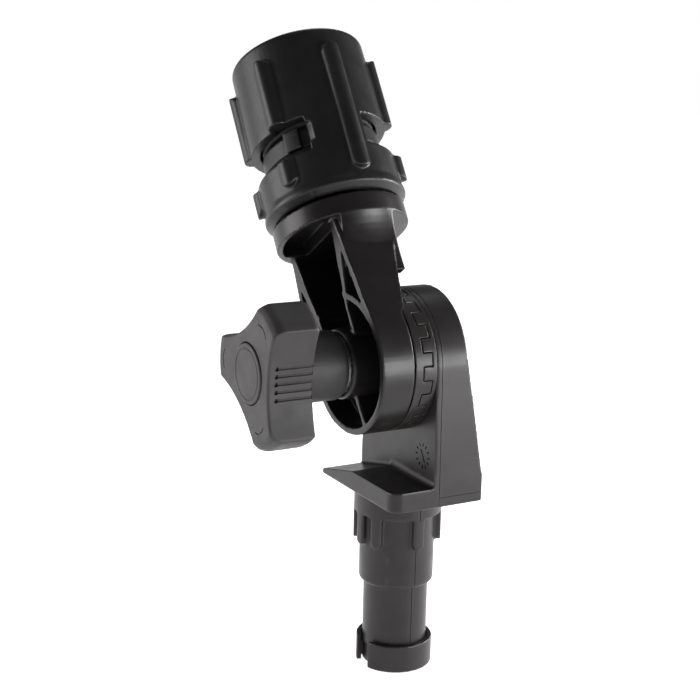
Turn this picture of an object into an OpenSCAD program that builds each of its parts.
// Rod holder head: splined post, clutched tilting arm, clamp knob and twist-lock socket.
// Millimetres. Z runs up the post, X runs along the tilt axis with the knob at -X.

/* [Post] */
// Radius of the lower cylinder of the post
post_r = 11.1; // [10:0.1:13]
// Radius of the upper cylinder of the post
post_upper_r = 12.8; // [11.5:0.1:14]
// Height of the step between the two cylinders
post_step_z = 30.3; // [24:0.1:38]
// Underside height of the flange
flange_z = 55.2; // [48:0.1:62]
// Radius of the flange and of the splines
flange_r = 15; // [13.5:0.1:17]
// Length of the splines below the flange
spline_len = 10.8; // [6:0.1:16]
// Width of one spline
spline_w = 4; // [2.5:0.1:5]
// Height of the snap ring round the foot of the post
snap_ring_h = 9.3; // [6:0.1:12]
// Outer radius of the snap ring
snap_ring_r = 13.1; // [12.3:0.1:14]

/* [Bracket] */
// Height of the underside of the bracket
base_z = 62.6; // [56:0.1:70]
// Half width of the bracket at its base
base_half_w = 24.4; // [22:0.1:28]
// X position of the flat face that carries the gear ring
face_x = -0.9; // [-2:0.1:1]
// X position of the back face at the base
back_x = 17.9; // [14:0.1:22]
// X position of the back face beside the tilt axis
back_top_x = 10.8; // [9:0.1:16]
// X position of the outer edge of the thumb ledge
ledge_x = -16.5; // [-22:0.1:-10]
// Thickness of the thumb ledge
ledge_h = 6.8; // [4:0.1:10]
// Wall thickness of the cored bracket
bracket_wall = 2.6; // [2:0.1:4]

/* [Clutch] */
// Height of the tilt axis above the foot of the post
axis_z = 108.1; // [98:0.1:120]
// Outer radius of the clutch rings, the arm disc and the bracket top
gear_r = 23.8; // [20:0.1:28]
// Inner radius of the castellated band
tooth_inner_r = 15; // [12:0.1:19]
// Number of castellations on each ring
tooth_count = 16; // [8:1:36]
// Clearance between the two sets of castellations
tooth_gap = 0.3; // [0.3:0.05:0.6]
// X position of the tips of the moving castellations
tooth_tip_x = -2.75; // [-4:0.05:-2]
// X position of the roots of the moving castellations
tooth_root_x = -6.1; // [-8:0.05:-5]
// X position of the clutch ring face next to the arm
clutch_back_x = -8.9; // [-10:0.1:-8]
// Radius of the pivot bolt
bolt_r = 4; // [3:0.1:5]

/* [Arm] */
// Lean of the arm away from upright
tilt = 33; // [0:0.25:90]
// X position of the front rim of the arm disc
arm_rim_x = -20.5; // [-24:0.1:-17]
// X position of the back of the arm disc
arm_back_x = -9.2; // [-10:0.1:-9]
// X position of the socket axis
socket_x = -10.2; // [-14:0.1:-6]
// Distance from the tilt axis to the underside of the top disc
disc_w0 = 44.4; // [38:0.1:50]
// Distance from the tilt axis to the upper face of the top disc
disc_w1 = 51.1; // [46:0.1:56]
// Radius of the top disc
disc_r = 23; // [20:0.1:26]
// Thickness of the outer walls of the arm
arm_wall = 2.3; // [1.8:0.1:4]
// Half width of the arm under the top disc
arm_top_half = 17.2; // [14:0.1:20]

/* [Socket] */
// Radius of the socket bore
socket_r = 13.3; // [12:0.1:15]
// Height of the socket floor along the arm
floor_w = 54.8; // [53:0.1:58]
// Height of the socket mouth along the arm
mouth_w = 110.2; // [100:0.1:112]
// Outer radius of the bearing bands of the sleeve
band_r = 20.32; // [18:0.01:21]
// Outer radius of the sleeve between its bands
sleeve_r = 17.5; // [16:0.1:19]

/* [Collar] */
// Height of the lower lip of the collar along the arm
collar_w0 = 52.3; // [51.5:0.1:56]
// Height of the upper rim of the collar along the arm
collar_w1 = 112.6; // [104:0.1:118]
// Outer radius of the collar
collar_r = 24; // [22:0.1:27]
// Bore radius of the collar
collar_bore_r = 20.4; // [18.5:0.01:22]
// Lower edge of the windows
window_w0 = 68.2; // [64:0.1:72]
// Upper edge of the windows
window_w1 = 79.8; // [74:0.1:86]
// Angle covered by one window
window_angle = 131; // [90:1:140]
// Radius of the half-round grip ribs
rib_r = 3.5; // [2:0.1:5]

/* [Knob] */
// Reach of the knob lobes
lobe_r = 25; // [20:0.1:32]
// Half width of a lobe tip
lobe_half = 6.5; // [4:0.1:9]
// X position of the front face of the knob
knob_front_x = -56.5; // [-64:0.1:-50]
// X position of the back of the knob lobes
knob_back_x = -40.6; // [-46:0.1:-34]
// Radius of the knob neck
neck_r = 11.5; // [9:0.1:14]
// X position of the inner end of the knob neck
neck_end_x = -25.7; // [-28:0.1:-22]
// Angle of the knob lobes about the tilt axis
knob_turn = 3; // [0:1:120]

/* [Hidden] */
$fn = 96;
eps = 0.01;
kink_z = base_z + 8.4;
slant_z = axis_z + 4;
front_wall_x = face_x + 3.3;
base_floor_z = base_z + 3.4;
boss_r = 11;
boss_end_x = 10.5;
spring_seat_x = 3;
spring_pocket_r = 7.6;
head_seat_x = 7;
head_r = 8.6;
square_w = 8;
ring_seat_x = face_x + 2;
ring_root_x = tooth_tip_x + tooth_gap;
ring_tip_x = tooth_root_x + tooth_gap;
tooth_step = 360 / tooth_count;
gap_angle = 0.75;
bushing_r = 6;
bushing_bore_r = bolt_r + 0.06;
arm_bore_r = bushing_r + 0.06;
boss_front_x = -25;
boss_floor_x = boss_front_x + 1;
arm_boss_r = 11.7;
washer_r = 10.2;
washer_recess_r = washer_r + 0.4;
bushing_end_x = boss_floor_x + 0.2;
washer_x = boss_floor_x - 0.4;
arm_floor = 2.5;
snap_groove_r = post_r - 0.6;
snap_shell_r = post_r + 0.35;
rib_count = 6;
rib_w0 = 58.9;
rib_w1 = 105.4;
rib_out = 26.4;
window_start = 103;
stop_r = 22;
stop_w0 = window_w0 + 3.2;
tab_w0 = 64.3;
tab_h = 2.8;
relief_w1 = tab_w0 + 3.7;
relief_r = socket_r + 0.4;
tab_angle = 24;
tab_start = 120 - tab_angle / 2;
tab_travel = 60;
screw_r = 1.5;
screw_ring_r = 8;

black = [0.13, 0.13, 0.13];
charcoal = [0.3, 0.29, 0.29];
steel = [0.7, 0.71, 0.72];
brass = [0.72, 0.6, 0.32];

// Frames and swept shapes used by several pieces.
module at_axis() {
    translate([0, 0, axis_z])
        children();
}

module in_arm() {
    at_axis()
        rotate([-tilt, 0, 0])
            children();
}

module in_socket() {
    in_arm()
        translate([socket_x, 0, 0])
            children();
}

// Cylinder along X from x0 to x1.
module rod_x(r, x0, x1) {
    translate([x0, 0, 0])
        rotate([0, 90, 0])
            cylinder(r = r, h = x1 - x0);
}

// Outline drawn in Y and Z, swept along X from x0 to x1.
module slab_x(x0, x1) {
    translate([x0, 0, 0])
        rotate([90, 0, 90])
            linear_extrude(x1 - x0)
                children();
}

// Outline drawn in X and Z, swept along Y about the middle plane.
module slab_y(width) {
    rotate([90, 0, 0])
        linear_extrude(width, center = true)
            children();
}

module tube(r_out, r_in, z0, z1) {
    translate([0, 0, z0])
        difference() {
            cylinder(r = r_out, h = z1 - z0);
            translate([0, 0, -1])
                cylinder(r = r_in, h = z1 - z0 + 2);
        }
}

// Part ring in the plane, starting at the angle given from +X.
module arc_block(r_out, r_in, z0, z1, start, sweep) {
    rotate([0, 0, start])
        rotate_extrude(angle = sweep)
            translate([r_in, z0])
                square([r_out - r_in, z1 - z0]);
}

module bracket_outline(inset) {
    polygon([[-base_half_w + inset, base_z], [-base_half_w + inset, kink_z],
             [-gear_r + inset, axis_z], [gear_r - inset, axis_z],
             [base_half_w - inset, kink_z], [base_half_w - inset, base_z]]);
    translate([0, axis_z])
        circle(gear_r - inset);
}

module post_splines() {
    intersection() {
        translate([0, 0, flange_z - spline_len])
            cylinder(r = flange_r, h = spline_len + 1);
        for (a = [0, 60, 120, 180, 240, 270, 300])
            rotate([0, 0, a]) {
                translate([-spline_w / 2, -flange_r - 1, flange_z - spline_len + spline_w / 2])
                    cube([spline_w, flange_r - 8, spline_len]);
                translate([0, -9, flange_z - spline_len + spline_w / 2])
                    rotate([90, 0, 0])
                        cylinder(r = spline_w / 2, h = flange_r);
            }
    }
}

module post_body() {
    difference() {
        union() {
            cylinder(r1 = post_r - 1, r2 = post_r, h = 1);
            translate([0, 0, 1])
                cylinder(r = post_r, h = post_step_z);
            translate([0, 0, post_step_z])
                cylinder(r1 = post_upper_r - 0.6, r2 = post_upper_r, h = 0.6);
            translate([0, 0, post_step_z + 0.6])
                cylinder(r = post_upper_r, h = flange_z - post_step_z);
            post_splines();
            translate([0, 0, flange_z])
                cylinder(r = flange_r, h = base_z - flange_z + 1);
        }
        tube(post_r + 3, snap_groove_r, 1.9, 7.1);
        translate([0, 0, -1])
            cylinder(r = 7.6, h = flange_z + 1);
    }
}

module ledge() {
    corner = 4;
    difference() {
        slab_x(ledge_x, face_x + 1)
            polygon([[-base_half_w, base_z], [base_half_w, base_z], [base_half_w, base_z + 1.9],
                     [3.5, base_z + ledge_h], [-base_half_w, base_z + ledge_h]]);
        translate([ledge_x, -base_half_w, base_z - 1])
            difference() {
                translate([-1, -1, 0])
                    cube([corner + 1, corner + 1, ledge_h + 2]);
                translate([corner, corner, -1])
                    cylinder(r = corner, h = ledge_h + 4);
            }
    }
}

// Back of the bracket: upright beside the axis, then sloping out to the base.
module bracket_back_cut() {
    slab_y(80)
        polygon([[back_top_x, axis_z + 60], [back_top_x, slant_z], [back_x, kink_z],
                 [back_x, base_z - 5], [60, base_z - 5], [60, axis_z + 60]]);
}

module bracket_pockets() {
    slab_x(front_wall_x, 40)
        difference() {
            bracket_outline(bracket_wall);
            translate([0, axis_z])
                circle(boss_r);
            translate([-30, base_z - 5])
                square([60, base_floor_z - base_z + 5]);
            translate([-1.1, base_z])
                square([2.2, 90]);
            translate([-30, 81])
                square([60, 2]);
            translate([-30, axis_z - 1])
                square([60, 2]);
        }
}

module bracket_post() {
    color(charcoal)
        difference() {
            union() {
                post_body();
                ledge();
                difference() {
                    slab_x(face_x, back_x)
                        bracket_outline(0);
                    bracket_back_cut();
                    bracket_pockets();
                }
            }
            at_axis() {
                rod_x(spring_pocket_r, face_x - 1, spring_seat_x);
                rod_x(head_r + 0.4, head_seat_x, back_x + 1);
                slab_x(0, head_seat_x + 1)
                    square(square_w + 0.2, center = true);
                difference() {
                    rod_x(19.1, face_x - 1, ring_seat_x);
                    rod_x(tooth_inner_r - 0.1, face_x - 2, ring_seat_x + 1);
                }
                gear_ring_screw_places()
                    cylinder(r = screw_r + 0.05, h = 20, center = true);
            }
        }
}

module post_snap_ring() {
    gap = 32;
    color(black)
        difference() {
            union() {
                tube(snap_ring_r, snap_shell_r, 0, snap_ring_h);
                tube(snap_shell_r + 0.5, snap_groove_r + 0.05, 2, 7);
            }
            arc_block(snap_ring_r + 2, 5, -1, snap_ring_h + 1, 180 - gap / 2, gap);
        }
}

// Notches cut between the castellations of a ring, the first one centred on the angle given.
module notches(x0, x1, first) {
    half = tooth_step / 4 + gap_angle / 2;
    for (i = [0 : tooth_count - 1])
        slab_x(x0, x1)
            rotate(first + i * tooth_step)
                polygon([[12 * cos(half), -12 * sin(half)], [40 * cos(half), -40 * sin(half)],
                         [40 * cos(half), 40 * sin(half)], [12 * cos(half), 12 * sin(half)]]);
}

module gear_ring_screw_places() {
    for (i = [0 : 3])
        rotate([i * 90 + 45, 0, 0])
            translate([ring_root_x, 17, 0])
                rotate([0, 90, 0])
                    children();
}

module bracket_gear_ring() {
    color(black)
        at_axis()
            difference() {
                union() {
                    rod_x(gear_r, ring_tip_x, face_x);
                    rod_x(19, face_x - 1, ring_seat_x);
                }
                rod_x(tooth_inner_r, ring_tip_x - 1, ring_seat_x + 1);
                notches(ring_tip_x - 1, ring_root_x, 180 + tooth_step / 2);
                gear_ring_screw_places()
                    cylinder(r = screw_r + 0.05, h = 20, center = true);
                gear_ring_screw_places()
                    translate([0, 0, -8])
                        cylinder(r = 2.8, h = 9.4);
            }
}

module gear_ring_screws() {
    color(steel)
        at_axis()
            gear_ring_screw_places() {
                translate([0, 0, 0.2])
                    cylinder(r = 2.6, h = 1.2);
                translate([0, 0, 1.4])
                    cylinder(r = screw_r, h = 3.4);
            }
}

module pivot_bolt() {
    color(steel)
        at_axis() {
            rod_x(bolt_r, -47, head_seat_x + 1);
            slab_x(spring_seat_x, head_seat_x)
                square(square_w, center = true);
            intersection() {
                rod_x(head_r, head_seat_x, head_seat_x + 3.3);
                translate([head_seat_x - 9.6, 0, 0])
                    sphere(r = 12.9);
            }
        }
}

module spring_washer() {
    color(steel)
        at_axis()
            difference() {
                rod_x(7.3, spring_seat_x - 0.9, spring_seat_x);
                rod_x(bolt_r + 0.3, spring_seat_x - 2, spring_seat_x + 1);
            }
}

module release_spring() {
    wire = 0.65;
    coil = 6.2;
    turns = 3;
    parts = 18;
    x0 = tooth_root_x + wire + 0.05;
    x1 = spring_seat_x - 0.95 - wire;
    color(steel)
        at_axis()
            for (i = [0 : turns * parts - 1])
                hull()
                    for (k = [i, i + 1])
                        rotate([k * 360 / parts, 0, 0])
                            translate([x0 + (x1 - x0) * k / (turns * parts), coil, 0])
                                sphere(r = wire, $fn = 10);
}

module clutch_ring() {
    color(black)
        at_axis()
            difference() {
                rod_x(gear_r, clutch_back_x, tooth_tip_x);
                rod_x(tooth_inner_r, tooth_root_x, tooth_tip_x + 1);
                rod_x(bushing_r, clutch_back_x - 1, 0);
                notches(tooth_root_x, tooth_tip_x + 1, 180);
            }
}

module pivot_bushing() {
    color(brass)
        at_axis()
            difference() {
                rod_x(bushing_r, bushing_end_x, tooth_root_x);
                rod_x(bushing_bore_r, bushing_end_x - 1, tooth_root_x + 1);
            }
}

module friction_disc() {
    color(charcoal)
        at_axis()
            difference() {
                rod_x(20, arm_back_x - 0.8, arm_back_x);
                rod_x(9, arm_back_x - 2, arm_back_x + 1);
            }
}

// Side view of the arm: front rim line on the left, sloping back on the right.
module arm_side_view(thin) {
    slab_y(60)
        polygon([[arm_rim_x, -30], [arm_back_x - thin, -30], [arm_back_x - thin, 3],
                 [-0.9 - thin, disc_w0 + 2], [arm_rim_x - 2, disc_w0 + 2]]);
}

module arm_outline(inset) {
    polygon([[-gear_r * cos(8) + inset, gear_r * sin(8)], [-arm_top_half + inset, disc_w0 + 3],
             [arm_top_half - inset, disc_w0 + 3], [gear_r * cos(8) - inset, gear_r * sin(8)]]);
    circle(gear_r - inset);
}

// Ribs left standing in the arm: two inner ribs, two cross webs, the boss and one spoke.
module arm_ribs() {
    for (side = [-1, 1]) {
        polygon([[side * 8.8, 6], [side * 10.8, 6], [side * 10.9, 16], [side * 16.9, 34],
                 [side * 17, 49], [side * 15.4, 49], [side * 13.2, 34], [side * 9.6, 16]]);
    }
    difference() {
        circle(gear_r - 0.4);
        circle(gear_r - 2.5);
        translate([-9.8, -40])
            square([19.6, 80]);
        translate([-40, -40])
            square([80, 46]);
    }
    circle(arm_boss_r);
    translate([-1, -23])
        square([2, 14]);
}

module arm() {
    color(charcoal)
        in_arm()
            difference() {
                union() {
                    intersection() {
                        slab_x(-26, 4)
                            arm_outline(0);
                        arm_side_view(0);
                    }
                    translate([socket_x, 0, disc_w0])
                        cylinder(r = disc_r, h = disc_w1 - disc_w0);
                    rod_x(arm_boss_r, boss_front_x + 0.8, arm_rim_x + 1);
                    translate([boss_front_x, 0, 0])
                        rotate([0, 90, 0])
                            cylinder(r1 = arm_boss_r - 0.6, r2 = arm_boss_r, h = 0.8);
                }
                difference() {
                    rod_x(gear_r + 0.6, arm_back_x, 12);
                    translate([-20, -40, gear_r + 0.7])
                        cube([60, 80, 40]);
                }
                intersection() {
                    slab_x(-40, 4)
                        difference() {
                            arm_outline(arm_wall);
                            arm_ribs();
                        }
                    slab_y(60)
                        polygon([[-40, -30], [arm_back_x - arm_floor, -30], [arm_back_x - arm_floor, 3],
                                 [-0.9 - arm_floor, disc_w0], [-40, disc_w0]]);
                }
                intersection() {
                    translate([socket_x, 0, disc_w0 - 1])
                        cylinder(r = disc_r - arm_wall, h = 5.9);
                    translate([-40, -13.2, disc_w0 - 1])
                        cube([22, 26.4, 10]);
                }
                rod_x(arm_bore_r, -30, 0);
                rod_x(washer_recess_r, -30, boss_floor_x);
                difference() {
                    rod_x(20.1, arm_back_x - 0.8, arm_back_x + 1);
                    rod_x(8.9, arm_back_x - 2, arm_back_x + 2);
                }
                sleeve_screw_places()
                    cylinder(r = screw_r + 0.05, h = 20, center = true);
            }
}

module sleeve_screw_places() {
    for (a = [0, 120, 240])
        translate([socket_x, 0, 0])
            rotate([0, 0, a])
                translate([screw_ring_r, 0, floor_w])
                    children();
}

module sleeve_screws() {
    color(steel)
        in_arm()
            sleeve_screw_places() {
                translate([0, 0, -2])
                    cylinder(r = 2.7, h = 1.9);
                translate([0, 0, -9.6])
                    cylinder(r = screw_r, h = 7.7);
            }
}

module socket_sleeve() {
    color(black)
        difference() {
            in_socket()
                difference() {
                    union() {
                        translate([0, 0, disc_w1])
                            cylinder(r = sleeve_r, h = mouth_w - disc_w1);
                        translate([0, 0, disc_w1])
                            cylinder(r = 19, h = 1.8);
                        translate([0, 0, 56])
                            cylinder(r = band_r, h = 10.5);
                        translate([0, 0, 84])
                            cylinder(r = band_r, h = 8);
                        for (a = [0, 180])
                            rotate([0, 0, a])
                                translate([-2, -18.9, 71.6])
                                    cube([4, 4, 6.1]);
                    }
                    translate([0, 0, floor_w + 1])
                        cylinder(r = socket_r, h = 80);
                    translate([0, 0, floor_w])
                        cylinder(r = relief_r, h = relief_w1 - floor_w);
                    for (a = [0, 60, 120, 180, 240, 270, 300])
                        rotate([0, 0, a])
                            translate([-spline_w / 2 - 0.2, -flange_r - 0.3, mouth_w - spline_len - 0.4])
                                cube([spline_w + 0.4, 6, 20]);
                    tube(30, sleeve_r - 1, 108.2, 109.6);
                    arc_block(30, 10, tab_w0 - 0.4, tab_w0 + tab_h + 0.4, tab_start - 2, tab_travel + tab_angle + 4);
                }
            in_arm()
                sleeve_screw_places() {
                    cylinder(r = screw_r + 0.05, h = 20, center = true);
                    translate([0, 0, -2])
                        cylinder(r = 3, h = 5);
                }
        }
}

module stop_band() {
    color(charcoal)
        in_socket()
            difference() {
                union() {
                    tube(band_r, sleeve_r + 0.05, 71.6, 77.7);
                    for (a = [0, 180])
                        arc_block(stop_r, sleeve_r + 1, stop_w0, 78.6, 210 + a, 15);
                }
                for (a = [0, 180])
                    rotate([0, 0, a])
                        translate([-2.05, -18.95, 60])
                            cube([4.1, 4.2, 30]);
            }
}

module collar_o_ring() {
    color(black)
        in_socket()
            translate([0, 0, 80.8])
                rotate_extrude()
                    translate([sleeve_r + 1.1, 0])
                        circle(1.1);
}

module retaining_ring() {
    color(steel)
        in_socket()
            difference() {
                tube(19.6, sleeve_r - 0.95, 108.3, 109.5);
                arc_block(30, 10, 107, 111, 80, 20);
            }
}

module collar_shell() {
    rotate_extrude()
        polygon([[collar_bore_r, collar_w0 + 1.4], [21.8, collar_w0], [24.6, 54.4], [24.6, 55.6],
                 [collar_r, 57.6], [collar_r, 79], [collar_r - 0.5, collar_w1 - 1.3],
                 [collar_r - 0.8, collar_w1 - 0.4], [collar_r - 1.6, collar_w1],
                 [collar_bore_r + 0.6, collar_w1], [collar_bore_r, collar_w1 - 0.6]]);
}

// Half-round bars with rounded ends, standing out of the side of the collar.
module collar_ribs() {
    for (i = [0 : rib_count - 1])
        rotate([0, 0, i * 60])
            intersection() {
                translate([0, -rib_out + rib_r, rib_w0])
                    cylinder(r = rib_r, h = rib_w1 - rib_w0);
                rotate([90, 0, 0]) {
                    translate([-rib_r - 1, rib_w0 + rib_r, 0])
                        cube([2 * rib_r + 2, rib_w1 - rib_w0 - 2 * rib_r, 40]);
                    for (w = [rib_w0 + rib_r, rib_w1 - rib_r])
                        translate([0, w, 0])
                            cylinder(r = rib_r + 0.02, h = 40);
                }
            }
}

module collar_windows() {
    for (a = [0, 180]) {
        rotate([0, 0, window_start + a])
            rotate_extrude(angle = window_angle)
                polygon([[19, window_w0 + 2.8], [21.2, window_w0 + 2.8], [collar_r + 0.5, window_w0 - 0.5],
                         [31, window_w0 - 0.5], [31, window_w1], [19, window_w1]]);
        arc_block(32, 18, window_w1 - 2, window_w1 + 1, window_start + window_angle - 31 + a, 30.5);
    }
}

module twist_collar() {
    color(black)
        in_socket()
            difference() {
                union() {
                    difference() {
                        union() {
                            collar_shell();
                            collar_ribs();
                        }
                        translate([0, 0, collar_w0 - 2])
                            cylinder(r = collar_bore_r, h = 80);
                        collar_windows();
                    }
                    tube(collar_bore_r + 0.5, sleeve_r + 0.4, 105.8, 107.9);
                }
                tab_pin_places()
                    cylinder(r = 1.2, h = 12);
            }
}

module tab_pin_places() {
    for (a = [-7, 7])
        rotate([0, 0, tab_start + tab_angle / 2 + a])
            translate([17, 0, tab_w0 + tab_h / 2])
                rotate([0, 90, 0])
                    children();
}

module lock_tab() {
    color(charcoal)
        in_socket()
            difference() {
                arc_block(collar_bore_r, 11.7, tab_w0, tab_w0 + tab_h, tab_start, tab_angle);
                tab_pin_places()
                    cylinder(r = 1, h = 12);
            }
}

module lock_tab_pins() {
    color(steel)
        in_socket()
            tab_pin_places() {
                cylinder(r = 1, h = 3.4);
                translate([0, 0, 3.4])
                    cylinder(r = 1, h = 3.1);
            }
}

module knob_outline() {
    chord = lobe_r * cos(60) + lobe_half * sin(60);
    bow = 43;
    difference() {
        polygon([for (i = [0 : 2]) for (s = [-1, 1])
                 [lobe_r * cos(i * 120) - s * lobe_half * sin(i * 120),
                  lobe_r * sin(i * 120) + s * lobe_half * cos(i * 120)]]);
        for (i = [0 : 2])
            rotate(i * 120 + 60)
                translate([chord - 4.1 + bow, 0])
                    circle(bow);
    }
}

module knob_grooves() {
    for (i = [0 : 2])
        for (k = [-2 : 2])
            rotate([i * 120 + 60, 0, 0])
                translate([knob_front_x + 3, 13.2, k * 2.55 - 0.5])
                    cube([10.5, 6, 1]);
}

module knob_body() {
    color(charcoal)
        at_axis()
            rotate([knob_turn, 0, 0])
                difference() {
                    union() {
                        intersection() {
                            slab_x(knob_front_x, knob_back_x)
                                knob_outline();
                            union() {
                                translate([knob_front_x, 0, 0])
                                    rotate([0, 90, 0])
                                        cylinder(r1 = lobe_r - 2.2, r2 = lobe_r + 0.7, h = 3.5);
                                rod_x(lobe_r + 0.7, knob_front_x + 3.5, knob_back_x);
                            }
                        }
                        rod_x(neck_r, knob_back_x - 1, neck_end_x - 1.5);
                        translate([neck_end_x - 1.5, 0, 0])
                            rotate([0, 90, 0])
                                cylinder(r1 = neck_r, r2 = neck_r - 1, h = 1.5);
                    }
                    knob_grooves();
                    rod_x(9.95, knob_front_x - 1, knob_front_x + 1.5);
                    rod_x(4.6, -52, 0);
                    rod_x(7, -42, 0);
                }
}

module knob_insert() {
    color(brass)
        at_axis()
            difference() {
                rod_x(7, -42, neck_end_x);
                rod_x(bolt_r + 0.06, -43, 0);
            }
}

module knob_cap() {
    color(charcoal)
        at_axis()
            rod_x(9.9, knob_front_x - 0.6, knob_front_x + 1.5);
}

module knob_washer() {
    color(steel)
        at_axis()
            difference() {
                rod_x(washer_r, neck_end_x, washer_x);
                rod_x(bolt_r + 0.3, neck_end_x - 1, 0);
            }
}

bracket_post();
post_snap_ring();
bracket_gear_ring();
gear_ring_screws();
pivot_bolt();
spring_washer();
release_spring();
clutch_ring();
pivot_bushing();
friction_disc();
arm();
socket_sleeve();
sleeve_screws();
stop_band();
collar_o_ring();
retaining_ring();
twist_collar();
lock_tab();
lock_tab_pins();
knob_body();
knob_insert();
knob_cap();
knob_washer();
